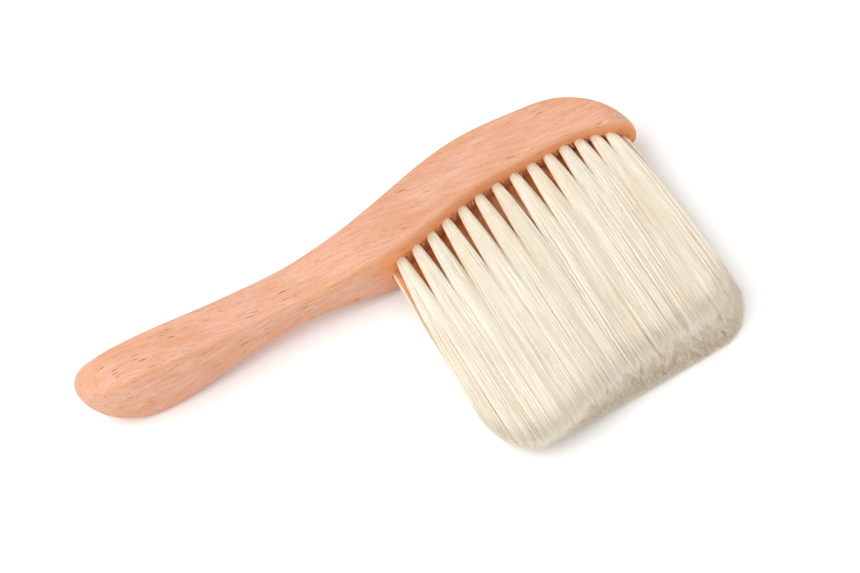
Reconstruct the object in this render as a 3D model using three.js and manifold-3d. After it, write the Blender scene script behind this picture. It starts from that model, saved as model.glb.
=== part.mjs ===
// Neck duster brush: a one-piece beech stock with soft filament tufts, each folded over a flat
// metal anchor and driven into its own blind hole. Millimetres. The brush lies on one cheek:
// X runs from the butt to the nose, -Y is the way the bristles point, Z is the stock's thickness.
import * as THREE from 'three';
import { mergeVertices } from 'three/addons/utils/BufferGeometryUtils.js';
import Module from 'manifold-3d';

// Stock
const BOARD_THICKNESS = 21; // the board that the stock is sawn from; its faces remain as flat cheeks
const BUTT_X = -88;
const NOSE_X = 87.5;
const BUTT_ROUNDING = 17; // length over which the butt end is rounded
const NOSE_ROUNDING = 19.3;
const NOSE_EDGE_ROUNDING = 6.9; // the nose keeps its thickness almost to its end
const ROUND_SIDES = 32;
const STOCK_RINGS = 64;

// The stock's side view: [x, height of the centre line, half height] at a few stations.
const SIDE_STATIONS = [
  [BUTT_X, 49.1, 11.4],
  [-80, 45.2, 8.6],
  [-66, 41.9, 7.9],
  [-48, 40.2, 7.8],
  [-30, 38.6, 7.2],
  [-12, 36.3, 7.6],
  [6, 34.3, 8.9],
  [24, 36.8, 9.6],
  [42, 38.8, 9.4],
  [60, 36.9, 8.7],
  [75, 33.0, 7.8],
  [NOSE_X, 22.9, 8.1],
];

// Its top view: [x, half thickness]. The cheeks are flat where this passes half the board.
const THICKNESS_STATIONS = [
  [BUTT_X, 8.6],
  [-70, 10.8],
  [-58, 9.7],
  [-46, 7.6],
  [-32, 6.1],
  [-18, 5.4],
  [-4, 7.4],
  [8, 8.8],
  [18, 8.5],
  [34, 7.8],
  [52, 7.5],
  [72, 7.0],
  [NOSE_X, 7.6],
];

// How square its section is: 2 is an ellipse, and a high value is a box with eased arrises.
const SQUARENESS_STATIONS = [
  [BUTT_X, 6],
  [-65, 7],
  [-20, 8],
  [10, 12],
  [NOSE_X, 12],
];
const ELLIPSE = 2;

// Tufts, in one zigzag: even ones stand in the back row, odd ones in the front row
const TUFT_COUNT = 29;
const FIRST_TUFT_X = 8.1;
const LAST_TUFT_X = 82.6;
const NOSE_CROWDING = 0.15; // how much closer the tufts stand at the nose than at the heel
const END_CROWDING = 0.1; // how much closer they stand at both ends than in the middle

// Each row's distance from the stock's middle plane: [x, distance]. It closes in at both ends.
const ROW_STATIONS = [
  [FIRST_TUFT_X, 2.2],
  [22, 2.9],
  [45, 2.3],
  [68, 2.3],
  [LAST_TUFT_X, 1.5],
];

const BORE_RADIUS = 1.6;
const BORE_DEPTH = 9;
const DEPTH_SHARE = 0.62; // the most of the stock's height that a bore takes
const CLEARANCE = 0.3;
const TUFT_RADIUS = BORE_RADIUS - CLEARANCE;

// The bristle block's trimmed end: a straight line in side view, with a rounded corner at each end
const HEEL_TIP_Y = -49.3;
const NOSE_TIP_Y = -52.4;
const HEEL_CORNER = [12, 24]; // a corner's length along X and its height
const NOSE_CORNER = [13, 17];
const BLOCK_START_X = 5.3;
const BLOCK_END_X = 87.6;
const FIRST_TIP_X = 7.6;
const LAST_TIP_X = 85;

// Its thickness there, as heights from the stock's middle plane. It grows from the heel on.
const HEEL_TIP_RANGE = [-6.6, -1.4];
const NOSE_TIP_RANGE = [-10.2, 2.8];
const THICKENING_START_X = -8;
const FULL_TIP_X = 80;
const TIP_SPREAD = 0.45; // a tip's half width, as a share of its row's pitch
const MIDDLE_GAP = 0.3;
const TUFT_SIDES = 10;

// Anchors: flat wire, a little wider than the bore, so each cuts a nick down both its sides
const ANCHOR_WIDTH = 3.3;
const ANCHOR_HEIGHT = 1.8;
const ANCHOR_THICKNESS = 0.35;
const FOLD_THICKNESS = 1.4; // the filament bend between an anchor and its bore's floor

const MIDDLE_Z = BOARD_THICKNESS / 2;

const wasm = await Module();
wasm.setup();

// The same geometry with positions only, and one vertex wherever several meet.
function weld(geometry) {
  const bare = geometry.clone();
  bare.deleteAttribute('normal');
  bare.deleteAttribute('uv');
  return mergeVertices(bare, 1e-4);
}

function toSolid(geometry) {
  const welded = weld(geometry);
  return new wasm.Manifold(new wasm.Mesh({
    numProp: 3,
    vertProperties: new Float32Array(welded.attributes.position.array),
    triVerts: new Uint32Array(welded.index.array),
  }));
}

function toGeometry(solid) {
  const mesh = solid.getMesh();
  const geometry = new THREE.BufferGeometry();
  geometry.setAttribute('position', new THREE.BufferAttribute(mesh.vertProperties, 3));
  geometry.setIndex(new THREE.BufferAttribute(mesh.triVerts, 1));
  geometry.computeVertexNormals();
  return geometry;
}

// A natural cubic spline in x through stations [x, value, ...], read from the given column.
function smooth(stations, column) {
  const last = stations.length - 1;
  const width = (i) => stations[i + 1][0] - stations[i][0];
  const slope = (i) => (stations[i + 1][column] - stations[i][column]) / width(i);
  const bend = new Array(last + 1).fill(0); // second derivatives, zero at both ends
  const carry = new Array(last + 1).fill(0);
  for (let i = 1; i < last; i += 1) {
    const pivot = 2 * (width(i - 1) + width(i)) - width(i - 1) * carry[i - 1];
    carry[i] = width(i) / pivot;
    bend[i] = (6 * (slope(i) - slope(i - 1)) - width(i - 1) * bend[i - 1]) / pivot;
  }
  for (let i = last - 1; i > 0; i -= 1) bend[i] -= carry[i] * bend[i + 1];
  return (x) => {
    let i = 0;
    while (i < last - 1 && x > stations[i + 1][0]) i += 1;
    const w = width(i);
    const b = (x - stations[i][0]) / w;
    const a = 1 - b;
    return a * stations[i][column] + b * stations[i + 1][column]
      + ((a ** 3 - a) * bend[i] + (b ** 3 - b) * bend[i + 1]) * w * w / 6;
  };
}

const centreY = smooth(SIDE_STATIONS, 1);
const halfHeight = smooth(SIDE_STATIONS, 2);
const halfThickness = smooth(THICKNESS_STATIONS, 1);
const squareness = smooth(SQUARENESS_STATIONS, 1);
const rowDistance = smooth(ROW_STATIONS, 1);

// 1 along the stock, falling to 0 at each end along a quarter of an ellipse.
function endRounding(x, noseLength = NOSE_ROUNDING) {
  const intoButt = Math.max(0, BUTT_X + BUTT_ROUNDING - x) / BUTT_ROUNDING;
  const intoNose = Math.max(0, x - NOSE_X + noseLength) / noseLength;
  return Math.sqrt(Math.max(0, 1 - Math.max(intoButt, intoNose) ** 2));
}

function faceY(x) {
  return centreY(x) - halfHeight(x) * endRounding(x);
}

// The tufts' holes are less deep where the nose rounds off.
function boreDepth(x) {
  return Math.min(BORE_DEPTH, DEPTH_SHARE * 2 * halfHeight(x) * endRounding(x));
}

// A unit sphere drawn out along X into the stock, with rounded square sections.
function stockGeometry() {
  const geometry = weld(new THREE.SphereGeometry(1, ROUND_SIDES, STOCK_RINGS));
  geometry.rotateZ(-Math.PI / 2);
  const point = new THREE.Vector3();
  const position = geometry.attributes.position;
  for (let i = 0; i < position.count; i += 1) {
    point.fromBufferAttribute(position, i);
    const x = THREE.MathUtils.mapLinear(point.x, -1, 1, BUTT_X, NOSE_X);
    const round = endRounding(x);
    const away = Math.hypot(point.y, point.z) || 1;
    const power = 2 / THREE.MathUtils.lerp(ELLIPSE, squareness(x), round);
    const corner = (value) => Math.sign(value) * Math.abs(value / away) ** power;
    const z = corner(point.z) * halfThickness(x) * endRounding(x, NOSE_EDGE_ROUNDING);
    position.setXYZ(
      i,
      x,
      centreY(x) + corner(point.y) * halfHeight(x) * round,
      MIDDLE_Z + THREE.MathUtils.clamp(z, -MIDDLE_Z, MIDDLE_Z),
    );
  }
  return geometry;
}

// Where each tuft stands: its bore's mouth, its row and its tip.
function tuftPlaces() {
  const along = (u) => u + NOSE_CROWDING * (u - u * u)
    - END_CROWDING / (2 * Math.PI) * Math.sin(2 * Math.PI * u);
  const places = [];
  for (let i = 0; i < TUFT_COUNT; i += 1) {
    const u = i / (TUFT_COUNT - 1);
    const x = THREE.MathUtils.lerp(FIRST_TUFT_X, LAST_TUFT_X, along(u));
    const side = i % 2 === 0 ? -1 : 1;
    places.push({ side, x, z: side * rowDistance(x) });
  }
  places.forEach((place, i) => {
    const before = places[Math.max(0, i - 1)];
    const after = places[Math.min(TUFT_COUNT - 1, i + 1)];
    place.rowPitch = 2 * (after.x - before.x) / (i === 0 || i === TUFT_COUNT - 1 ? 1 : 2);
    place.tipX = THREE.MathUtils.mapLinear(place.x, FIRST_TUFT_X, LAST_TUFT_X, FIRST_TIP_X, LAST_TIP_X);
    place.tipY = tipHeight(place.tipX);
  });
  return places;
}

// The trimmed block's end, with a quarter of an ellipse at each corner.
function tipHeight(x) {
  const level = THREE.MathUtils.mapLinear(x, BLOCK_START_X, BLOCK_END_X, HEEL_TIP_Y, NOSE_TIP_Y);
  const cut = ([length, height], inside) => (
    height * (1 - Math.sqrt(1 - Math.max(0, 1 - inside / length) ** 2))
  );
  return level + cut(HEEL_CORNER, x - BLOCK_START_X) + cut(NOSE_CORNER, BLOCK_END_X - x);
}

// The lowest and highest z of one row's tips at x: its own half of the block.
function tipRange(x, side) {
  const grown = THREE.MathUtils.smoothstep(x, THICKENING_START_X, FULL_TIP_X);
  const low = THREE.MathUtils.lerp(HEEL_TIP_RANGE[0], NOSE_TIP_RANGE[0], grown);
  const high = THREE.MathUtils.lerp(HEEL_TIP_RANGE[1], NOSE_TIP_RANGE[1], grown);
  const middle = (low + high) / 2;
  return side > 0 ? [middle + MIDDLE_GAP / 2, high] : [low, middle - MIDDLE_GAP / 2];
}

// The bore and the nick that the anchor cuts on its way in, both open at the bristle face.
function boreCutter(place) {
  const mouth = faceY(place.x) - 3;
  const floor = faceY(place.x) + boreDepth(place.x);
  const bore = new THREE.CylinderGeometry(BORE_RADIUS, BORE_RADIUS, floor - mouth, 16);
  bore.translate(place.x, (floor + mouth) / 2, MIDDLE_Z + place.z);
  const nickFloor = floor - FOLD_THICKNESS + CLEARANCE;
  const nick = new THREE.BoxGeometry(
    ANCHOR_WIDTH + 2 * CLEARANCE, nickFloor - mouth, ANCHOR_THICKNESS + 2 * CLEARANCE,
  );
  nick.translate(place.x, (nickFloor + mouth) / 2, MIDDLE_Z + place.z);
  return toSolid(bore).add(toSolid(nick));
}

function anchorTopY(place) {
  return faceY(place.x) + boreDepth(place.x) - FOLD_THICKNESS;
}

function stockMesh(places) {
  let stock = toSolid(stockGeometry());
  for (const place of places) stock = stock.subtract(boreCutter(place));
  const beech = new THREE.MeshStandardMaterial({ color: 0xe6b08c, roughness: 0.55, metalness: 0 });
  return named('stock', toGeometry(stock), beech);
}

// A round bundle in the bore that spreads into an oval at its trimmed tip, folded over its anchor.
function tuftMesh(name, place) {
  const mouthY = faceY(place.x) - CLEARANCE;
  const levels = [
    faceY(place.x) + boreDepth(place.x) - CLEARANCE,
    mouthY,
    THREE.MathUtils.lerp(mouthY, place.tipY, 0.5),
    place.tipY,
  ];
  const geometry = new THREE.CylinderGeometry(1, 1, 1, TUFT_SIDES, levels.length - 1);
  const position = geometry.attributes.position;
  const [low, high] = tipRange(place.tipX, place.side);
  for (let i = 0; i < position.count; i += 1) {
    const y = levels[Math.round((0.5 - position.getY(i)) * (levels.length - 1))];
    const out = Math.max(0, mouthY - y) / (mouthY - place.tipY);
    const centreX = THREE.MathUtils.lerp(place.x, place.tipX, out);
    const centreZ = THREE.MathUtils.lerp(place.z, (low + high) / 2, out);
    const halfX = THREE.MathUtils.lerp(TUFT_RADIUS, place.rowPitch * TIP_SPREAD, out);
    const halfZ = THREE.MathUtils.lerp(TUFT_RADIUS, (high - low) / 2, out);
    position.setXYZ(
      i,
      centreX + position.getX(i) * halfX,
      y,
      MIDDLE_Z + centreZ + position.getZ(i) * halfZ,
    );
  }
  const fold = new THREE.BoxGeometry(
    ANCHOR_WIDTH, ANCHOR_HEIGHT + 2 * CLEARANCE, ANCHOR_THICKNESS + 2 * CLEARANCE,
  );
  fold.translate(place.x, anchorTopY(place) - ANCHOR_HEIGHT / 2, MIDDLE_Z + place.z);
  const filament = new THREE.MeshStandardMaterial({ color: 0xf3e6cf, roughness: 0.6, metalness: 0 });
  return named(name, toGeometry(toSolid(geometry).subtract(toSolid(fold))), filament);
}

function anchorMesh(name, place) {
  const geometry = new THREE.BoxGeometry(ANCHOR_WIDTH, ANCHOR_HEIGHT, ANCHOR_THICKNESS);
  const wire = new THREE.MeshStandardMaterial({ color: 0xb9b7b0, roughness: 0.4, metalness: 0.9 });
  const anchor = named(name, geometry, wire);
  anchor.position.set(place.x, anchorTopY(place) - ANCHOR_HEIGHT / 2, MIDDLE_Z + place.z);
  return anchor;
}

function named(name, geometry, material) {
  const mesh = new THREE.Mesh(geometry, material);
  mesh.name = name;
  return mesh;
}

const brush = new THREE.Group();
const places = tuftPlaces();
brush.add(stockMesh(places));
places.forEach((place, i) => {
  const row = place.side > 0 ? 'front' : 'back';
  const number = String(Math.floor(i / 2) + 1).padStart(2, '0');
  brush.add(tuftMesh(`tuft_${row}_${number}`, place));
  brush.add(anchorMesh(`anchor_${row}_${number}`, place));
});

export default brush;
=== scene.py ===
"""Neck duster brush: the looks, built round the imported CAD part.

The frame is in metres. Sizes below are in millimetres, except where a line says otherwise.
X runs from the butt to the nose, -Y is the way the bristles point, and the brush lies on one cheek.
The stock is rebuilt finely from the CAD's own stations, and each tuft becomes a bundle of filaments.
"""

import math

import bmesh
import bpy
import numpy as np
from mathutils import Matrix, Vector


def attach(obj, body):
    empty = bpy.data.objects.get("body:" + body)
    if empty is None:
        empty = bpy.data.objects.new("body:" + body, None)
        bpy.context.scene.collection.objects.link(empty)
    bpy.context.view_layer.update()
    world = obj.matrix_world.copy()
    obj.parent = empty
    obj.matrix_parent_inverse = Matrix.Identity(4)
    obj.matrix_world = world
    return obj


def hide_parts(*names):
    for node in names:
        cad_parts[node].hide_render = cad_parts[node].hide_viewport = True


MM = 0.001
SEED = 1187

# Stock, as in the CAD
BOARD_THICKNESS = 21.0
MIDDLE_Z = BOARD_THICKNESS / 2
BUTT_X, NOSE_X = -88.0, 87.5
BUTT_ROUNDING, NOSE_ROUNDING = 17.0, 19.3
NOSE_EDGE_ROUNDING = 6.9  # the nose keeps its thickness almost to its end
SIDE_STATIONS = [  # x, height of the centre line, half height
    (BUTT_X, 49.1, 11.4),
    (-80, 45.2, 8.6),
    (-66, 41.9, 7.9),
    (-48, 40.2, 7.8),
    (-30, 38.6, 7.2),
    (-12, 36.3, 7.6),
    (6, 34.3, 8.9),
    (24, 36.8, 9.6),
    (42, 38.8, 9.4),
    (60, 36.9, 8.7),
    (75, 33.0, 7.8),
    (NOSE_X, 22.9, 8.1),
]
THICKNESS_STATIONS = [  # x, half thickness; the cheeks are flat where this passes half the board
    (BUTT_X, 8.6),
    (-70, 10.8),
    (-58, 9.7),
    (-46, 7.6),
    (-32, 6.1),
    (-18, 5.4),
    (-4, 7.4),
    (8, 8.8),
    (18, 8.5),
    (34, 7.8),
    (52, 7.5),
    (72, 7.0),
    (NOSE_X, 7.6),
]
SQUARENESS_STATIONS = [(BUTT_X, 6), (-65, 7), (-20, 8), (10, 12), (NOSE_X, 12)]
ELLIPSE = 2.0  # the squareness of an ellipse

# Tufts, as in the CAD
TUFT_COUNT = 29
FIRST_TUFT_X, LAST_TUFT_X = 8.1, 82.6
NOSE_CROWDING, END_CROWDING = 0.15, 0.1
ROW_STATIONS = [(FIRST_TUFT_X, 2.2), (22, 2.9), (45, 2.3), (68, 2.3), (LAST_TUFT_X, 1.5)]
BORE_RADIUS = 1.6
BORE_DEPTH = 9.0
DEPTH_SHARE = 0.62  # the most of the stock's height that a bore takes
NICK_WIDTH, NICK_THICKNESS = 3.9, 0.9
HEEL_TIP_Y, NOSE_TIP_Y = -49.3, -52.4  # the line that the bristles are trimmed to
HEEL_CORNER, NOSE_CORNER = (12.0, 24.0), (13.0, 17.0)  # length and height of its rounded corners
BLOCK_START_X, BLOCK_END_X = 5.3, 87.6
FIRST_TIP_X, LAST_TIP_X = 7.6, 85.0


def natural_spline(stations, column=1):
    """A natural cubic spline through stations, as a function of x for arrays."""
    x = np.array([s[0] for s in stations], float)
    y = np.array([s[column] for s in stations], float)
    h = np.diff(x)
    n = len(x)
    a = np.zeros((n, n))
    b = np.zeros(n)
    a[0, 0] = a[-1, -1] = 1
    for i in range(1, n - 1):
        a[i, i - 1], a[i, i], a[i, i + 1] = h[i - 1], 2 * (h[i - 1] + h[i]), h[i]
        b[i] = 6 * ((y[i + 1] - y[i]) / h[i] - (y[i] - y[i - 1]) / h[i - 1])
    bend = np.linalg.solve(a, b)

    def value(at):
        at = np.asarray(at, float)
        i = np.clip(np.searchsorted(x, at) - 1, 0, n - 2)
        q = (at - x[i]) / h[i]
        p = 1 - q
        curve = (p**3 - p) * bend[i] + (q**3 - q) * bend[i + 1]
        return p * y[i] + q * y[i + 1] + curve * h[i] ** 2 / 6

    return value


centre_y = natural_spline(SIDE_STATIONS)
half_height = natural_spline(SIDE_STATIONS, 2)
half_thickness = natural_spline(THICKNESS_STATIONS)
squareness = natural_spline(SQUARENESS_STATIONS)
row_distance = natural_spline(ROW_STATIONS)


def end_rounding(x, nose_length=NOSE_ROUNDING):
    """1 along the stock, falling to 0 at each end along a quarter of an ellipse."""
    into_butt = np.maximum(0, BUTT_X + BUTT_ROUNDING - x) / BUTT_ROUNDING
    into_nose = np.maximum(0, x - NOSE_X + nose_length) / nose_length
    return np.sqrt(np.maximum(0, 1 - np.maximum(into_butt, into_nose) ** 2))


def face_y(x):
    return centre_y(x) - half_height(x) * end_rounding(x)


def bore_depth(x):
    return min(BORE_DEPTH, DEPTH_SHARE * 2 * float(half_height(x) * end_rounding(x)))


def smoothstep(low, high, value):
    t = np.clip((value - low) / (high - low), 0, 1)
    return t * t * (3 - 2 * t)


def lerp(a, b, t):
    return a + (b - a) * t


# ---------------------------------------------------------------- meshes


def new_object(name, mesh, material):
    mesh.materials.append(material)
    made = bpy.data.objects.new(name, mesh)
    bpy.context.scene.collection.objects.link(made)
    return made


def mesh_from(name, points, faces):
    """points (n, 3) in millimetres, faces (m, 3) of vertex numbers."""
    mesh = bpy.data.meshes.new(name)
    mesh.vertices.add(len(points))
    mesh.vertices.foreach_set("co", (np.asarray(points) * MM).astype(np.float32).ravel())
    mesh.loops.add(faces.size)
    mesh.loops.foreach_set("vertex_index", faces.astype(np.int32).ravel())
    mesh.polygons.add(len(faces))
    mesh.polygons.foreach_set("loop_start", np.arange(0, faces.size, 3, dtype=np.int32))
    mesh.polygons.foreach_set("use_smooth", np.ones(len(faces), bool))
    mesh.update(calc_edges=True)
    mesh.validate()
    return mesh


# ---------------------------------------------------------------- stock

STOCK_SIDES = 120
STOCK_RINGS = 420
CORNER_CROWDING = 0.2  # how far a section's points shift towards its corners
BORE_SIDES = 28
CUTTER_START = 3  # how far outside the bristle face the cutters begin
NICK_SHORT = 1  # how much less deep a nick is than its bore
SHARP_ANGLE = 40  # degrees; edges of the bores and nicks stay crisp


def stock_section(x, angle):
    """Points of the stock's section at x, for arrays of angle."""
    rounding = end_rounding(x)
    power = 2 / lerp(ELLIPSE, squareness(x), rounding)
    corner_y = np.sign(np.cos(angle)) * np.abs(np.cos(angle)) ** power
    corner_z = np.sign(np.sin(angle)) * np.abs(np.sin(angle)) ** power
    y = centre_y(x) + corner_y * half_height(x) * rounding
    edge = end_rounding(x, NOSE_EDGE_ROUNDING)
    z = MIDDLE_Z + np.clip(corner_z * half_thickness(x) * edge, -MIDDLE_Z, MIDDLE_Z)
    return y, z


def section_angles():
    """Angles that crowd round the section's four corners, so that each arris stays round."""
    u = np.arange(STOCK_SIDES) / STOCK_SIDES * 2 * math.pi
    return u + CORNER_CROWDING * np.sin(4 * u)


def stock_mesh():
    turn = np.linspace(0, math.pi, STOCK_RINGS + 1)
    x = -np.cos(turn) * (NOSE_X - BUTT_X) / 2
    x = x[1:-1]
    angle = section_angles()
    gx, ga = np.meshgrid(x, angle, indexing="ij")
    y, z = stock_section(gx, ga)
    body = np.stack([gx, y, z], -1).reshape(-1, 3)
    ends = np.array([
        (BUTT_X, float(centre_y(BUTT_X)), MIDDLE_Z),
        (NOSE_X, float(centre_y(NOSE_X)), MIDDLE_Z),
    ])
    mesh = bmesh.new()
    verts = [mesh.verts.new(p * MM) for p in body]
    butt, nose = (mesh.verts.new(p * MM) for p in ends)
    rings, sides = len(x), STOCK_SIDES
    for i in range(rings - 1):
        for j in range(sides):
            k = (j + 1) % sides
            mesh.faces.new([verts[i * sides + j], verts[(i + 1) * sides + j],
                            verts[(i + 1) * sides + k], verts[i * sides + k]])
    for j in range(sides):
        k = (j + 1) % sides
        mesh.faces.new([butt, verts[j], verts[k]])
        mesh.faces.new([nose, verts[(rings - 1) * sides + k], verts[(rings - 1) * sides + j]])
    bmesh.ops.recalc_face_normals(mesh, faces=mesh.faces)
    made = bpy.data.meshes.new("stock")
    mesh.to_mesh(made)
    mesh.free()
    return made


def bore_cutter(places):
    """One mesh of all the bores, to subtract from the stock."""
    cutter = bmesh.new()
    for place in places:
        x, z = place["x"], MIDDLE_Z + place["z"]
        mouth, floor = float(face_y(x)) - CUTTER_START, float(face_y(x)) + bore_depth(x)
        upright = Matrix.Rotation(math.pi / 2, 4, "X")
        at = Matrix.Translation(Vector((x, (mouth + floor) / 2, z)) * MM)
        bmesh.ops.create_cone(
            cutter, cap_ends=True, segments=BORE_SIDES,
            radius1=BORE_RADIUS * MM, radius2=BORE_RADIUS * MM,
            depth=(floor - mouth) * MM, matrix=at @ upright,
        )
    made = bpy.data.meshes.new("bores")
    cutter.to_mesh(made)
    cutter.free()
    return made


def nick_cutter(places):
    """One mesh of the flat nicks that the anchors cut on their way in."""
    cutter = bmesh.new()
    for place in places:
        x, z = place["x"], MIDDLE_Z + place["z"]
        mouth = float(face_y(x)) - CUTTER_START
        floor = float(face_y(x)) + bore_depth(x) - NICK_SHORT
        at = Matrix.Translation(Vector((x, (mouth + floor) / 2, z)) * MM)
        size = Matrix.Diagonal((NICK_WIDTH * MM, (floor - mouth) * MM, NICK_THICKNESS * MM, 1))
        bmesh.ops.create_cube(cutter, size=1, matrix=at @ size)
    made = bpy.data.meshes.new("nicks")
    cutter.to_mesh(made)
    cutter.free()
    return made


def subtract(target, cutter_mesh):
    """Cuts the mesh out of the target object, then throws the cutter away."""
    cutter = bpy.data.objects.new("cutter", cutter_mesh)
    bpy.context.scene.collection.objects.link(cutter)
    cut = target.modifiers.new("cut", "BOOLEAN")
    cut.operation, cut.solver, cut.object = "DIFFERENCE", "EXACT", cutter
    graph = bpy.context.evaluated_depsgraph_get()
    result = bpy.data.meshes.new_from_object(target.evaluated_get(graph))
    target.modifiers.clear()
    old, target.data = target.data, result
    bpy.data.meshes.remove(old)
    bpy.data.objects.remove(cutter)
    bpy.data.meshes.remove(cutter_mesh)


def mark_stock(mesh):
    """Point attributes, 0 to 1: arris on the long eased edges, cheek on the two flat sides, mouth
    on the bristle face round the tufts, which carries painted warm bounce light in the shade there."""
    count = len(mesh.vertices)
    co = np.empty(count * 3, np.float32)
    mesh.vertices.foreach_get("co", co)
    x, y, z = (co.reshape(-1, 3) / MM).T
    x = np.clip(x, BUTT_X + 0.01, NOSE_X - 0.01)
    high = half_height(x) * np.maximum(end_rounding(x), 1e-3)
    edge = np.maximum(end_rounding(x, NOSE_EDGE_ROUNDING), 1e-3)
    thick = np.minimum(half_thickness(x) * edge, MIDDLE_Z)
    across = np.abs(y - centre_y(x)) / high
    through = np.abs(z - MIDDLE_Z) / thick
    near_face = smoothstep(4.5, 1.0, y - face_y(x))
    marks = {
        "arris": smoothstep(0.82, 0.91, np.minimum(across, through)),
        "cheek": smoothstep(-0.06, 0.06, through - across),
        # mouth: where the beech gets painted warm bounce light, in the shade round the tufts
        "mouth": near_face * smoothstep(0, 9, x) * smoothstep(0.95, 0.75, through),
    }
    for name, values in marks.items():
        layer = mesh.attributes.new(name, "FLOAT", "POINT")
        layer.data.foreach_set("value", np.asarray(values, np.float32))


CHIP_LENGTH, CHIP_WIDTH, CHIP_THICKNESS = 2.2, 1.2, 0.25
CHIP_OFFSET = 1.95  # along X from the middle of the bore
CHIP_FOOT = 0.35  # how deep a chip is rooted in the face
NOSE_SIDE_CHIPS, BUTT_SIDE_CHIPS = 0.85, 0.3  # the share of tufts with a chip on that side
CHIP_STEPS = 4


def add_chip(body, foot, end, random):
    """A closed blade that leans out of the face, away from the bore, and bends and tapers."""
    lean = Vector((end * random.uniform(0.2, 0.9), -1, random.uniform(-0.3, 0.6))).normalized()
    side = lean.cross(Vector((end, 0, 0.3))).normalized()
    face = lean.cross(side)
    length = CHIP_LENGTH * random.uniform(0.6, 1.0)
    rings = []
    for step in range(CHIP_STEPS + 1):
        t = step / CHIP_STEPS
        curl = 0.5 * t * t * random.uniform(0.6, 1.2)
        middle = foot + lean * length * t + face * curl
        wide, thick = CHIP_WIDTH * (1 - 0.7 * t) / 2, CHIP_THICKNESS * (1 - 0.6 * t) / 2
        rings.append([body.verts.new((middle + side * a * wide + face * b * thick) * MM)
                      for a, b in ((-1, -1), (1, -1), (1, 1), (-1, 1))])
    for low, high in zip(rings, rings[1:]):
        for i in range(4):
            k = (i + 1) % 4
            body.faces.new([low[i], low[k], high[k], high[i]])
    body.faces.new(rings[0][::-1])
    body.faces.new(rings[-1])


def add_chips(mesh, places, random):
    """Slivers of wood that the anchors raised beside some of the tufts."""
    body = bmesh.new()
    body.from_mesh(mesh)
    for place in places:
        for end in (-1, 1):
            if random.random() > (NOSE_SIDE_CHIPS if end > 0 else BUTT_SIDE_CHIPS):
                continue
            x = place["x"] + end * CHIP_OFFSET
            z = MIDDLE_Z + place["z"] + random.uniform(0.4, 1.5)
            add_chip(body, Vector((x, float(face_y(x)) + CHIP_FOOT, z)), end, random)
    bmesh.ops.recalc_face_normals(body, faces=body.faces)
    body.to_mesh(mesh)
    body.free()


# ---------------------------------------------------------------- tufts


def tuft_places():
    """Where each tuft stands, as in the CAD: one zigzag, even ones in the back row."""
    u = np.arange(TUFT_COUNT) / (TUFT_COUNT - 1)
    along = u + NOSE_CROWDING * (u - u * u) - END_CROWDING / (2 * math.pi) * np.sin(2 * math.pi * u)
    xs = lerp(FIRST_TUFT_X, LAST_TUFT_X, along)
    places = []
    for i, x in enumerate(xs):
        side = -1 if i % 2 == 0 else 1
        row = "back" if side < 0 else "front"
        share = (x - FIRST_TUFT_X) / (LAST_TUFT_X - FIRST_TUFT_X)
        places.append({
            "name": f"tuft_{row}_{i // 2 + 1:02d}",
            "side": side,
            "x": float(x),
            "z": side * float(row_distance(x)),
            "end": "heel" if i < 2 else "nose" if i >= TUFT_COUNT - 2 else "",
            "tip_x": float(lerp(FIRST_TIP_X, LAST_TIP_X, share)),
        })
    return places


FILAMENTS = 1100  # ends in each tuft
ROOT_RADIUS, FILAMENT_RADIUS = 0.046, 0.064
TIP_TAPER = 0.55  # how much thinner a filament is at its tip
FILAMENT_SIDES = 3
FILAMENT_STEPS = 9
STEP_CROWDING = 1.35  # steps are shorter near the root, where the filaments bend most
BORE_FILL = 0.97  # of the bore's radius
ROOT_DEPTH = 4.0  # how far inside the bore the drawn filaments start
OUTWARD_CROWDING = 0.75  # filaments crowd towards the block's outside
TIP_SPREAD = 4.6  # half the length of block that a tuft's tips share with its neighbours'
TIP_SCATTER_X, TIP_SCATTER_Z = 0.45, 0.35
FLARE_LENGTH = 0.3  # the share of the bristle's length in which it spreads quickest
FLARE_SHARE_X, FLARE_SHARE_Z = 0.55, 0.4  # how much of the whole spread is quick
FLARE_VARIATION = 0.08
LOCKS = 36  # in each tuft
LOCK_CLING = (0.02, 0.14)  # how far a lock's filaments draw together
# how much shorter than the trim: most filaments, most locks, and the shortest of all
SHORT, LOCK_SHORT, SHORTEST = 0.6, 1.0, 7.0
WAVE, WAVE_TURNS = 0.12, (2, 5)  # a filament's own slight wave
STRAY_SHARE, STRAY_BOW, STRAY_LENGTH = 0.006, 1.3, 0.45
LOWEST_Z = 0.15  # of a filament above the floor

ROW_OVERLAP = 1.2  # how far each row's tips mingle with the other's
HEEL_TIP_LOW, HEEL_TIP_HIGH = -6.6, -1.4
NOSE_TIP_LOW, NOSE_TIP_HIGH = -10.2, 2.8
THICKENING_START_X, FULL_TIP_X = -8.0, 80.0  # the block grows thicker between these
HEEL_SLANT, NOSE_SLANT = 0.55, -0.16  # how much longer the bristles get with height in it
SLANT_START_X, SLANT_END_X = 18.0, 50.0
BLOCK_MARGIN, FOLD_BACK = 0.3, 0.35


def block_range(x):
    """The bristle block's lowest and highest z at its tips, from the stock's middle plane."""
    t = smoothstep(THICKENING_START_X, FULL_TIP_X, x)
    return lerp(HEEL_TIP_LOW, NOSE_TIP_LOW, t), lerp(HEEL_TIP_HIGH, NOSE_TIP_HIGH, t)


def corner_cut(corner, into):
    """How far a rounded corner of that length and height rises, this far into its length."""
    length, height = corner
    return height * (1 - np.sqrt(1 - (np.clip(into, 0, length) / length) ** 2))


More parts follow.
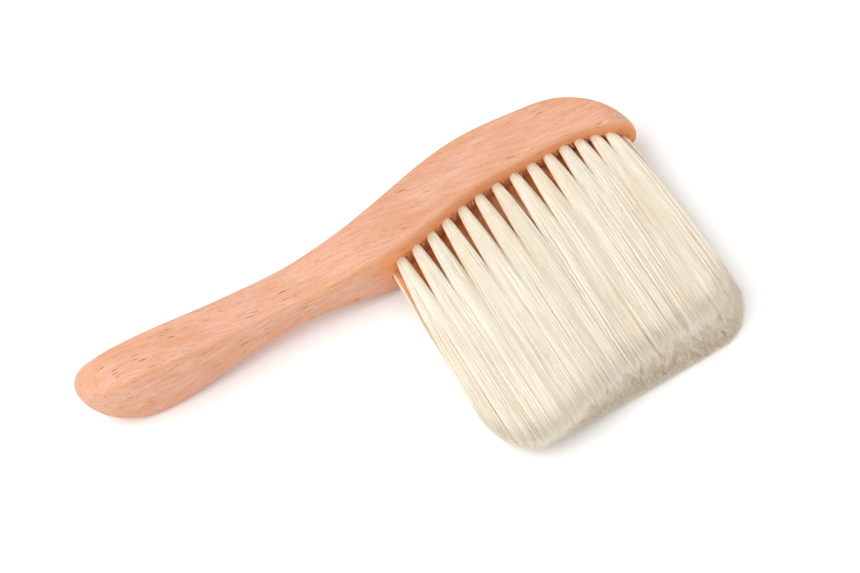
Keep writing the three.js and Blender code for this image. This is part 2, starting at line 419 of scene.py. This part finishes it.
def trim_y(x, z):
    """The surface that the filaments are trimmed to: straight, round at both corners, aslant in z."""
    level = lerp(HEEL_TIP_Y, NOSE_TIP_Y, (x - BLOCK_START_X) / (BLOCK_END_X - BLOCK_START_X))
    cut = corner_cut(HEEL_CORNER, BLOCK_START_X + HEEL_CORNER[0] - x)
    cut = cut + corner_cut(NOSE_CORNER, x - BLOCK_END_X + NOSE_CORNER[0])
    low, _ = block_range(x)
    slant = lerp(HEEL_SLANT, NOSE_SLANT, smoothstep(SLANT_START_X, SLANT_END_X, x))
    return level + cut - slant * (z - low)


def tuft_tips(place, disc_x, disc_z):
    """Where filaments that leave the bore at these places end: its disc, stretched over the tuft's
    own share of the block. Also how far outward each lies in the block, -1 to 1."""
    flat = disc_z / np.sqrt(np.maximum(BORE_RADIUS**2 - disc_x**2, 0.01))  # disc made square
    outward = np.clip(flat * place["side"], -1, 1)
    tip_x = place["tip_x"] + TIP_SPREAD * disc_x / BORE_RADIUS
    low, high = block_range(np.clip(tip_x, BLOCK_START_X, BLOCK_END_X))
    middle = (low + high) / 2
    overlap = ROW_OVERLAP * place["side"]
    inner, outer = middle - overlap, high if place["side"] > 0 else low
    return tip_x, lerp(inner, outer, (0.5 + 0.5 * outward) ** OUTWARD_CROWDING), outward


def inside_block(tip_x):
    """Folds tips that would pass the block's ends back into it."""
    start, end = BLOCK_START_X + BLOCK_MARGIN, BLOCK_END_X - BLOCK_MARGIN
    tip_x = np.where(tip_x < start, start + (start - tip_x) * FOLD_BACK, tip_x)
    return np.where(tip_x > end, end - (tip_x - end) * FOLD_BACK, tip_x)


def bend(place, disc, tip, s, flare_length):
    """Paths from the bore's mouth to the tips: quick to spread at first, then straight."""
    flare = (1 - np.exp(-s / flare_length)) / (1 - np.exp(-1 / flare_length))
    disc_x, disc_z = disc
    tip_x, tip_y, tip_z = tip
    spread_x, spread_z = lerp(s, flare, FLARE_SHARE_X), lerp(s, flare, FLARE_SHARE_Z)
    x = lerp((place["x"] + disc_x)[:, None], tip_x[:, None], spread_x)
    z = lerp((place["z"] + disc_z)[:, None], tip_z[:, None], spread_z)
    y = lerp(float(face_y(place["x"])), tip_y[:, None], s)
    return x, y, z


def filament_ends(place, random):
    """Where each filament leaves the bore, where it ends, how far outward it lies, -1 to 1, and
    how high up in the block it ends, 0 to 1."""
    n = FILAMENTS
    radius = BORE_RADIUS * BORE_FILL * random.random(n) ** 0.42
    angle = random.random(n) * 2 * math.pi
    disc_x, disc_z = np.cos(angle) * radius, np.sin(angle) * radius
    tip_x, tip_z, outward = tuft_tips(place, disc_x, disc_z)
    tip_x = inside_block(tip_x + random.normal(0, TIP_SCATTER_X, n))
    low, high = block_range(tip_x)
    tip_z = np.clip(tip_z + random.normal(0, TIP_SCATTER_Z, n), low, high)

    # locks: filaments near each other cling together towards the tip, and end together
    seeds = random.choice(n, LOCKS, replace=False)
    to_seed = (tip_x[:, None] - tip_x[seeds]) ** 2 + (tip_z[:, None] - tip_z[seeds]) ** 2
    lock = to_seed.argmin(1)
    cling = random.uniform(*LOCK_CLING, LOCKS)[lock]
    tip_x = lerp(tip_x, tip_x[seeds][lock], cling)
    tip_z = lerp(tip_z, tip_z[seeds][lock], cling * 0.6)
    up = (tip_z - low) / (high - low)
    ragged = lerp(0.12, 1.0, smoothstep(0.02, 0.5, up))  # the lowest edge is the crispest
    short = random.exponential(SHORT, n) + np.abs(random.normal(0, LOCK_SHORT, LOCKS))[lock]
    tip_y = trim_y(tip_x, tip_z) + np.minimum(ragged * short, SHORTEST)
    return (disc_x, disc_z), (tip_x, tip_y, tip_z), outward, up


def waved(x, z, s, random):
    """The paths with a slight wave each, and a few that bow out of the tuft."""
    column = (FILAMENTS, 1)
    phase = random.random(column) * 2 * math.pi
    swell = np.minimum(s * 4, 1)
    turns = random.uniform(*WAVE_TURNS, column)
    x = x + np.sin(s * turns + phase) * swell * random.normal(0, WAVE, column)
    turns = random.uniform(*WAVE_TURNS, column)
    z = z + np.cos(s * turns + phase) * swell * random.normal(0, WAVE, column)
    stray = (random.random(column) < STRAY_SHARE) * random.normal(0, STRAY_BOW, column)
    return x + stray * np.sin(np.minimum(s / STRAY_LENGTH, 1) * math.pi), z


def painted_shade_on_tips(tip_x, up, random):
    """How much painted shade each tip gets, 0 to 1: the lowest are darkest, the heel stays pale, the
    nose paler.
    """
    tone = random.random(FILAMENTS) ** 0.6 * np.clip(1.05 - up, 0, 1)
    return tone * smoothstep(12, 36, tip_x) * lerp(1.0, 0.5, smoothstep(74, 86, tip_x))


def depths(place, disc_x, outward, random):
    """How deep each filament lies, 0 to 1: most inside the block and between two tufts. It sets how
    much painted warm shade the filament gets.
    """
    if place["end"]:
        outward = np.maximum(outward, disc_x / BORE_RADIUS * (1 if place["end"] == "nose" else -1))
    beside = smoothstep(0.8, 1.0, np.abs(disc_x) / BORE_RADIUS)
    deep = 0.7 * smoothstep(0.8, 0.0, outward) + 0.4 * beside
    return np.clip(deep + random.normal(0, 0.12, FILAMENTS), 0, 1)


def filament_paths(place, random):
    """Centre lines (filament, step, xyz) of one tuft, root first, and how far along each step is.
    Also for each filament how deep it lies and how much painted shade its tip gets, 0 to 1."""
    disc, tip, outward, up = filament_ends(place, random)
    s = np.linspace(0, 1, FILAMENT_STEPS + 1) ** STEP_CROWDING
    flare_length = FLARE_LENGTH * random.normal(1, FLARE_VARIATION, FILAMENTS)[:, None]
    x, y, z = bend(place, disc, tip, s, flare_length)
    x, z = waved(x, z, s, random)
    inner = np.stack([x[:, 0], y[:, 0] + ROOT_DEPTH, z[:, 0]], -1)[:, None]
    paths = np.concatenate([inner, np.stack([x, y, z], -1)], 1)
    paths[:, :, 2] = np.maximum(paths[:, :, 2] + MIDDLE_Z, LOWEST_Z)
    tone = painted_shade_on_tips(tip[0], up, random)
    deep = depths(place, disc[0], outward, random)
    return paths, np.concatenate([[0], s]), deep, tone


CORE_SIDES, CORE_STEPS = 32, 18
CORE_SHARE = 0.86  # of the tuft's width
CORE_SHORT = 9.0  # how far it ends short of the tips
CORE_ROOT_DEPTH = 2.0  # how far inside the bore it starts
CORE_NARROWING_X, CORE_NARROWING_Z = 0.3, 0.25  # how much narrower it is at its tip
CORE_LOWEST_Z = 0.4
CORE_ALONG = 0.95  # where it ends, as a share of the bristle's length


def core_points(place):
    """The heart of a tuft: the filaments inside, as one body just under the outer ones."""
    angle = np.arange(CORE_SIDES) / CORE_SIDES * 2 * math.pi
    radius = BORE_RADIUS * CORE_SHARE
    disc_x, disc_z = np.cos(angle) * radius, np.sin(angle) * radius
    tip_x, tip_z, _ = tuft_tips(place, disc_x, disc_z)
    tip_x = inside_block(tip_x)
    tip_x = lerp(tip_x, tip_x.mean(), CORE_NARROWING_X)
    tip_z = lerp(tip_z, tip_z.mean(), CORE_NARROWING_Z)
    tip = (tip_x, trim_y(tip_x, tip_z) + CORE_SHORT, tip_z)
    s = np.linspace(0, 1, CORE_STEPS + 1)
    x, y, z = bend(place, (disc_x, disc_z), tip, s, FLARE_LENGTH)
    rings = np.stack([x, y, z + MIDDLE_Z], -1).transpose(1, 0, 2)
    rings[0, :, 1] += CORE_ROOT_DEPTH
    rings[:, :, 2] = np.maximum(rings[:, :, 2], CORE_LOWEST_Z)
    return rings, s


def core_mesh(place):
    """The core's points, its triangles, and how far along the bristle each point is."""
    rings, s = core_points(place)
    ends = np.stack([rings[0].mean(0), rings[-1].mean(0)])
    points = np.concatenate([rings.reshape(-1, 3), ends])
    at = np.arange(rings.shape[0] * CORE_SIDES).reshape(-1, CORE_SIDES)
    here, there = at[:-1], at[1:]
    here_next, there_next = np.roll(here, -1, 1), np.roll(there, -1, 1)
    root, tip = at.size, at.size + 1
    faces = np.concatenate([
        np.stack([here, here_next, there_next], -1).reshape(-1, 3),
        np.stack([here, there_next, there], -1).reshape(-1, 3),
        np.stack([np.roll(at[0], -1), at[0], np.full(CORE_SIDES, root)], -1),
        np.stack([at[-1], np.roll(at[-1], -1), np.full(CORE_SIDES, tip)], -1),
    ])
    return points, faces, np.concatenate([np.repeat(s * CORE_ALONG, CORE_SIDES), [0, CORE_ALONG]])


def tuft_mesh(place, paths, along, deep, tone, shade):
    """Every path as a fine tapered rod, closed at both ends, and the core among them."""
    n, steps, _ = paths.shape
    thickness = lerp(ROOT_RADIUS, FILAMENT_RADIUS, smoothstep(0, FLARE_LENGTH, along))
    thickness = thickness * (1 - TIP_TAPER * smoothstep(0.95, 1.0, along))
    angle = shade[:, None] * 2 * math.pi + np.arange(FILAMENT_SIDES) / FILAMENT_SIDES * 2 * math.pi
    ring = np.stack([np.cos(angle), np.zeros_like(angle), np.sin(angle)], -1)
    points = paths[:, :, None, :] + ring[:, None] * thickness[None, :, None, None]
    at = np.arange(n * steps * FILAMENT_SIDES).reshape(n, steps, FILAMENT_SIDES)
    here, there = at[:, :-1], at[:, 1:]
    here_next, there_next = np.roll(here, -1, 2), np.roll(there, -1, 2)
    faces = np.concatenate([
        np.stack([here, here_next, there_next], -1).reshape(-1, 3),
        np.stack([here, there_next, there], -1).reshape(-1, 3),
        at[:, 0, ::-1],
        at[:, -1],
    ])
    core, core_faces, core_along = core_mesh(place)
    points = points.reshape(-1, 3)
    faces = np.concatenate([faces, core_faces + len(points)])
    mesh = mesh_from(place["name"], np.concatenate([points, core]), faces)
    per_point = steps * FILAMENT_SIDES
    ones = np.ones(len(core))
    for label, values in (
        ("shade", np.concatenate([np.repeat(shade, per_point), ones])),
        ("deep", np.concatenate([np.repeat(deep, per_point), ones])),
        ("tone", np.concatenate([np.repeat(tone, per_point), ones])),
        ("along", np.concatenate([np.tile(np.repeat(along, FILAMENT_SIDES), n), core_along])),
        ("core", np.concatenate([np.zeros(len(points)), ones])),
    ):
        layer = mesh.attributes.new(label, "FLOAT", "POINT")
        layer.data.foreach_set("value", values.astype(np.float32))
    return mesh


# ---------------------------------------------------------------- materials


def srgb(r, g, b):
    """A linear colour from 0-255 display values."""
    def one(c):
        c /= 255
        return c / 12.92 if c <= 0.04045 else ((c + 0.055) / 1.055) ** 2.4
    return (one(r), one(g), one(b), 1.0)


class Nodes:
    """A short way to write a material's nodes."""

    def __init__(self, name):
        self.material = bpy.data.materials.new(name)
        self.material.use_nodes = True
        self.tree = self.material.node_tree
        self.shader = self.tree.nodes["Principled BSDF"]

    def add(self, kind, inputs=None, **settings):
        node = self.tree.nodes.new(kind)
        for key, value in settings.items():
            setattr(node, key, value)
        for key, value in (inputs or {}).items():
            self.put(node.inputs[key], value)
        return node

    def put(self, socket, value):
        if isinstance(value, bpy.types.NodeSocket):
            self.tree.links.new(value, socket)
        else:
            socket.default_value = value

    def math(self, operation, a, b=0.0):
        return self.add("ShaderNodeMath", {0: a, 1: b}, operation=operation).outputs[0]

    def vector_math(self, operation, a, b):
        return self.add("ShaderNodeVectorMath", {0: a, 1: b}, operation=operation).outputs[0]

    def mix(self, factor, a, b, blend="MIX"):
        node = self.add("ShaderNodeMix", data_type="RGBA", blend_type=blend)
        self.put(node.inputs[0], factor)
        self.put(node.inputs[6], a)
        self.put(node.inputs[7], b)
        return node.outputs[2]

    def remap(self, value, low, high, to_low=0.0, to_high=1.0, smooth=True):
        kind = "SMOOTHSTEP" if smooth else "LINEAR"
        node = self.add("ShaderNodeMapRange", interpolation_type=kind)
        for socket, v in zip(("Value", "From Min", "From Max", "To Min", "To Max"),
                             (value, low, high, to_low, to_high)):
            self.put(node.inputs[socket], v)
        return node.outputs["Result"]

    def noise(self, vector, scale=1.0, detail=2.0, rough=0.5, distortion=0.0):
        return self.add("ShaderNodeTexNoise", {
            "Vector": vector, "Scale": scale, "Detail": detail,
            "Roughness": rough, "Distortion": distortion,
        }).outputs["Fac"]

    def stretched(self, vector, x, y, z):
        """The vector with each axis divided by a length in its own units."""
        share = (1 / x, 1 / y, 1 / z)
        return self.vector_math("MULTIPLY", vector, share)

    def attribute(self, name):
        return self.add("ShaderNodeAttribute", attribute_name=name).outputs["Fac"]


GRAIN_ANGLE = 13  # degrees between the board's grain and the brush's length
EDGE_GRAIN_TURN = (0, 2, 1)  # degrees, on the narrow faces
GRAIN_WANDER = 4.0


def grain_space(n, turn):
    """Object coordinates in millimetres, turned so that X runs along the grain, with some wander."""
    place = n.add("ShaderNodeTexCoord").outputs["Object"]
    turned = n.add("ShaderNodeMapping", {
        "Vector": place,
        "Rotation": tuple(math.radians(a) for a in turn),
        "Scale": (1 / MM, 1 / MM, 1 / MM),
    }).outputs[0]
    wander = n.add("ShaderNodeTexNoise", {
        "Vector": n.stretched(turned, 45, 14, 14), "Scale": 1.0, "Detail": 1.0,
    })
    push = n.vector_math("SUBTRACT", wander.outputs["Color"], (0.5, 0.5, 0.5))
    push = n.vector_math("MULTIPLY", push, (0, GRAIN_WANDER, GRAIN_WANDER))
    return n.vector_math("ADD", turned, push)


def flecks(n, grain, size, radius, share, seed):
    """Short spindle-shaped dashes along the grain, 1 inside and 0 outside, in that share of cells."""
    moved = n.vector_math("ADD", n.stretched(grain, *size), (seed, seed, seed))
    cell = n.add("ShaderNodeTexVoronoi", {
        "Vector": moved, "Scale": 1.0, "Randomness": 1.0,
    }, feature="F1")
    tone = n.add("ShaderNodeSeparateColor", {0: cell.outputs["Color"]})
    inside = n.remap(cell.outputs["Distance"], radius, radius * 0.3)
    chosen = n.remap(tone.outputs[0], share, share - 0.3)
    return n.math("MULTIPLY", inside, chosen)


def beech_material():
    n = Nodes("beech")
    cheek = n.attribute("cheek")
    cheek_grain = grain_space(n, (0, 0, GRAIN_ANGLE))
    edge_grain = grain_space(n, EDGE_GRAIN_TURN)

    def both(pattern, length, width, depth, *more):
        """A pattern on the cheeks and its like on the narrow faces, blended over the arris."""
        on_cheek = pattern(cheek_grain, (length, width, depth), *more)
        on_edge = pattern(edge_grain, (length, depth, width), *more)
        return n.math("ADD", n.math("MULTIPLY", on_cheek, cheek),
                      n.math("MULTIPLY", on_edge, n.math("SUBTRACT", 1.0, cheek)))

    def streaks(grain, size, rough, distortion):
        return n.noise(n.stretched(grain, *size), detail=3, rough=rough, distortion=distortion)

    def dashes(grain, size, radius, share, seed):
        return flecks(n, grain, size, radius, share, seed)

    cloud = n.noise(n.stretched(cheek_grain, 22, 8, 10), detail=3, rough=0.6)
    mottle = both(streaks, 10.0, 0.9, 2.5, 0.6, 0.5)
    fine = both(streaks, 5.0, 0.36, 1.2, 0.65, 0.0)
    long_flecks = both(dashes, 11.0, 1.3, 2.6, 0.21, 0.75, 3.0)
    more_flecks = both(dashes, 8.5, 1.1, 2.2, 0.2, 0.6, 31.0)
    short_flecks = both(dashes, 5.0, 0.7, 1.6, 0.22, 0.7, 11.0)
    hair_flecks = both(dashes, 1.6, 0.34, 0.9, 0.28, 0.75, 17.0)

    arris = n.attribute("arris")
    colour = n.mix(n.remap(cloud, 0.35, 0.66), srgb(210, 161, 136), srgb(205, 150, 118))
    for where, strength, tint in (
        (n.remap(mottle, 0.45, 0.72), 0.5, (198, 130, 90)),
        (n.remap(mottle, 0.5, 0.28), 0.5, (222, 172, 148)),
        (n.remap(fine, 0.47, 0.72), 0.42, (184, 116, 84)),
        (hair_flecks, 0.6, (160, 94, 66)),
        (short_flecks, 0.62, (158, 92, 66)),
        (more_flecks, 0.7, (150, 84, 58)),
        (long_flecks, 0.85, (138, 76, 54)),
        (arris, 0.5, (206, 138, 86)),
        # painted warm bounce light on the bristle face, in the shade between the tufts
        (n.attribute("mouth"), 0.65, (228, 142, 80)),
    ):
        colour = n.mix(n.math("MULTIPLY", where, strength), colour, srgb(*tint))
    n.put(n.shader.inputs["Base Color"], colour)
    rough = n.remap(fine, 0.3, 0.8, 0.46, 0.62, smooth=False)
    n.put(n.shader.inputs["Roughness"], n.math("SUBTRACT", rough, n.math("MULTIPLY", arris, 0.08)))
    n.put(n.shader.inputs["Specular IOR Level"], 0.35)
    height = n.math("SUBTRACT", n.math("MULTIPLY", fine, -0.5), n.math("MULTIPLY", long_flecks, 0.8))
    bump = n.add("ShaderNodeBump", {"Strength": 0.3, "Distance": 0.00006, "Height": height})
    n.put(n.shader.inputs["Normal"], bump.outputs[0])
    return n.material


def filament_material():
    n = Nodes("filament")
    shade, deep, along = n.attribute("shade"), n.attribute("deep"), n.attribute("along")
    pale = n.mix(n.remap(shade, 0.0, 1.0), srgb(255, 245, 226), srgb(255, 251, 240))
    # painted warm shade: filaments deep in the block and between tufts are drawn warmer tan, for the
    # light scattered inside the bundle
    inner = n.math("MULTIPLY", n.remap(deep, 0.15, 1.0, 0.0, 0.85), n.remap(along, 0.99, 0.85))
    colour = n.mix(inner, pale, srgb(255, 208, 140))
    # painted shade: a warm tan at every filament's root, where the tufts leave the bore
    colour = n.mix(n.remap(along, 0.04, 0.0, 0.0, 0.35), colour, srgb(250, 212, 156))
    # painted shade: deep filaments near the roots turn orange, in the shadow between the tufts
    painted_root_shade = n.math("MULTIPLY", n.remap(along, 0.32, 0.05), n.remap(deep, 0.2, 0.65, 0.0, 0.9))
    colour = n.mix(painted_root_shade, colour, srgb(255, 170, 88))
    place = n.add("ShaderNodeTexCoord").outputs["Object"]
    drift = n.noise(n.stretched(place, 0.012, 0.03, 0.012), detail=1)
    colour = n.mix(n.remap(drift, 0.4, 0.75, 0.0, 0.3), colour, srgb(252, 236, 208))
    # painted shade darkens the trimmed tips, and the darker a tip, the further up it starts
    tone = n.attribute("tone")
    reach = n.math("ADD", along, n.math("MULTIPLY", tone, 0.06))
    painted_tip_shade = n.math("MULTIPLY", n.remap(reach, 0.97, 1.04), n.remap(tone, 0.05, 0.7))
    painted_tip_shade = n.math("MULTIPLY", painted_tip_shade, n.remap(shade, 0.3, 0.9, 0.15, 1.0))
    colour = n.mix(n.math("MULTIPLY", painted_tip_shade, 0.85), colour, srgb(178, 140, 96))
    # the core is streaked warm tan along the strands: partly the inner filaments' own colour, partly
    # painted warm light passing through the bundle
    strands = n.noise(n.stretched(place, 0.00025, 0.03, 0.00025))
    heart = n.mix(n.remap(strands, 0.35, 0.65), srgb(255, 224, 176), srgb(255, 239, 212))
    colour = n.mix(n.attribute("core"), colour, heart)
    n.put(n.shader.inputs["Base Color"], colour)
    n.put(n.shader.inputs["Roughness"], 0.5)
    n.put(n.shader.inputs["Specular IOR Level"], 0.3)
    return n.material


def wire_material():
    n = Nodes("anchor_wire")
    place = n.add("ShaderNodeTexCoord").outputs["Object"]
    drawn = n.noise(n.stretched(place, 0.004, 0.00008, 0.00008))
    n.put(n.shader.inputs["Base Color"], n.mix(drawn, (0.42, 0.41, 0.39, 1), (0.6, 0.59, 0.57, 1)))
    n.put(n.shader.inputs["Metallic"], 1.0)
    n.put(n.shader.inputs["Roughness"], n.remap(drawn, 0.3, 0.7, 0.28, 0.45, smooth=False))
    return n.material


def floor_material():
    n = Nodes("floor")
    place = n.add("ShaderNodeTexCoord").outputs["Object"]
    drift = n.noise(place, scale=3.0)
    n.put(n.shader.inputs["Base Color"], n.mix(drift, (0.95, 0.95, 0.95, 1), (0.97, 0.97, 0.97, 1)))
    n.put(n.shader.inputs["Roughness"], 0.9)
    n.put(n.shader.inputs["Specular IOR Level"], 0.1)
    return n.material


# ---------------------------------------------------------------- stage, light and camera

# degrees
CAMERA_ROLL = 33.38
CAMERA_ELEVATION = 54.41
CAMERA_AZIMUTH = 0.62

# metres, and watts for a light's power
CAMERA_DISTANCE = 5.0
CAMERA_CLIP = (0.1, 20)
FRAME_WIDTH = 0.24474  # of the view, at the brush
AIM_RIGHT, AIM_UP = 0.01398, 0.01136  # from the brush's middle to the view's, before the roll
FLOOR_RADIUS, FLOOR_DROP = 12, 0.0002
KEY_PLACE, KEY_SIZE, KEY_POWER = (-0.5, 0.26, 0.8), 1.4, 7.2
FILL_PLACE, FILL_SIZE, FILL_POWER = (0.1, -0.9, 0.5), 0.7, 0.9

SENSOR_WIDTH = 36  # millimetres
STUDIO_LIGHT = 0.97  # the world's strength
BOUNCES = 14  # light has to find its way out of the tufts


def make_camera():
    """Aims the camera at the brush's middle, moved within the view, then rolls it."""
    a, e = math.radians(CAMERA_AZIMUTH), math.radians(CAMERA_ELEVATION)
    back = Vector((math.cos(e) * math.sin(a), -math.cos(e) * math.cos(a), math.sin(e)))
    across = Vector((math.cos(a), math.sin(a), 0))
    upward = back.cross(across)
    target = Vector((0, 0, MIDDLE_Z * MM)) + across * AIM_RIGHT + upward * AIM_UP
    roll = math.radians(CAMERA_ROLL)
    right = across * math.cos(roll) - upward * math.sin(roll)
    top = across * math.sin(roll) + upward * math.cos(roll)
    camera = bpy.data.objects.new("camera", bpy.data.cameras.new("camera"))
    camera.data.sensor_width = SENSOR_WIDTH
    camera.data.lens = SENSOR_WIDTH * CAMERA_DISTANCE / FRAME_WIDTH
    camera.data.clip_start, camera.data.clip_end = CAMERA_CLIP
    turned = Matrix((right, top, back)).transposed().to_4x4()
    camera.matrix_world = Matrix.Translation(target + back * CAMERA_DISTANCE) @ turned
    bpy.context.scene.collection.objects.link(camera)
    bpy.context.scene.camera = camera


def area_light(name, place, size, power):
    """A round white light that faces the frame's origin."""
    light = bpy.data.lights.new(name, "AREA")
    light.shape, light.size, light.energy = "DISK", size, power
    lamp = bpy.data.objects.new(name, light)
    lamp.location = place
    lamp.rotation_mode = "QUATERNION"
    lamp.rotation_quaternion = Vector(place).to_track_quat("Z", "Y")
    bpy.context.scene.collection.objects.link(lamp)


def make_stage():
    mesh = bpy.data.meshes.new("floor")
    disc = bmesh.new()
    bmesh.ops.create_circle(disc, cap_ends=True, segments=64, radius=FLOOR_RADIUS)
    disc.to_mesh(mesh)
    disc.free()
    floor = new_object("floor", mesh, floor_material())
    floor.location.z = -FLOOR_DROP
    area_light("key", KEY_PLACE, KEY_SIZE, KEY_POWER)
    area_light("fill", FILL_PLACE, FILL_SIZE, FILL_POWER)
    world = bpy.data.worlds.new("studio")
    world.use_nodes = True
    background = world.node_tree.nodes["Background"]
    background.inputs["Color"].default_value = (1, 1, 1, 1)
    background.inputs["Strength"].default_value = STUDIO_LIGHT
    scene = bpy.context.scene
    scene.world = world
    scene.view_settings.view_transform = "Standard"
    scene.cycles.max_bounces = scene.cycles.diffuse_bounces = BOUNCES


# ---------------------------------------------------------------- the brush


def build_stock(places):
    stock = new_object("beech_stock", stock_mesh(), beech_material())
    subtract(stock, bore_cutter(places))
    subtract(stock, nick_cutter(places))
    mark_stock(stock.data)
    add_chips(stock.data, places, np.random.default_rng(SEED))
    stock.data.shade_smooth()
    stock.data.set_sharp_from_angle(angle=math.radians(SHARP_ANGLE))
    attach(stock, "root")
    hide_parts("stock")


def build_tufts(places):
    filament = filament_material()
    for i, place in enumerate(places):
        random = np.random.default_rng(SEED + i)
        paths, along, deep, tone = filament_paths(place, random)
        shade = random.random(FILAMENTS)
        mesh = tuft_mesh(place, paths, along, deep, tone, shade)
        tuft = new_object(place["name"] + "_filaments", mesh, filament)
        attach(tuft, "root")
        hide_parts(place["name"])


def dress_anchors(frame):
    """The anchors stay as the CAD made them, with a material of their own."""
    wire = wire_material()
    for name, node in frame["nodes"].items():
        if name.startswith("anchor"):
            for slot in node.material_slots:
                slot.material = wire


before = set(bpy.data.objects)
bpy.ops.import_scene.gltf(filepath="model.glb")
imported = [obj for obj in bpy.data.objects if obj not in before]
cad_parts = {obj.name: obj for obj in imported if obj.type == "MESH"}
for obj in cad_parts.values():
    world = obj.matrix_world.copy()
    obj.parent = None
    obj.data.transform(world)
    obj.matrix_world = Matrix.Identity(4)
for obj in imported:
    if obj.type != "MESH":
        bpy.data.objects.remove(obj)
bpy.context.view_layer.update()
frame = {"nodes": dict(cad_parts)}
make_camera()
make_stage()
tufts = tuft_places()
build_stock(tufts)
build_tufts(tufts)
dress_anchors(frame)
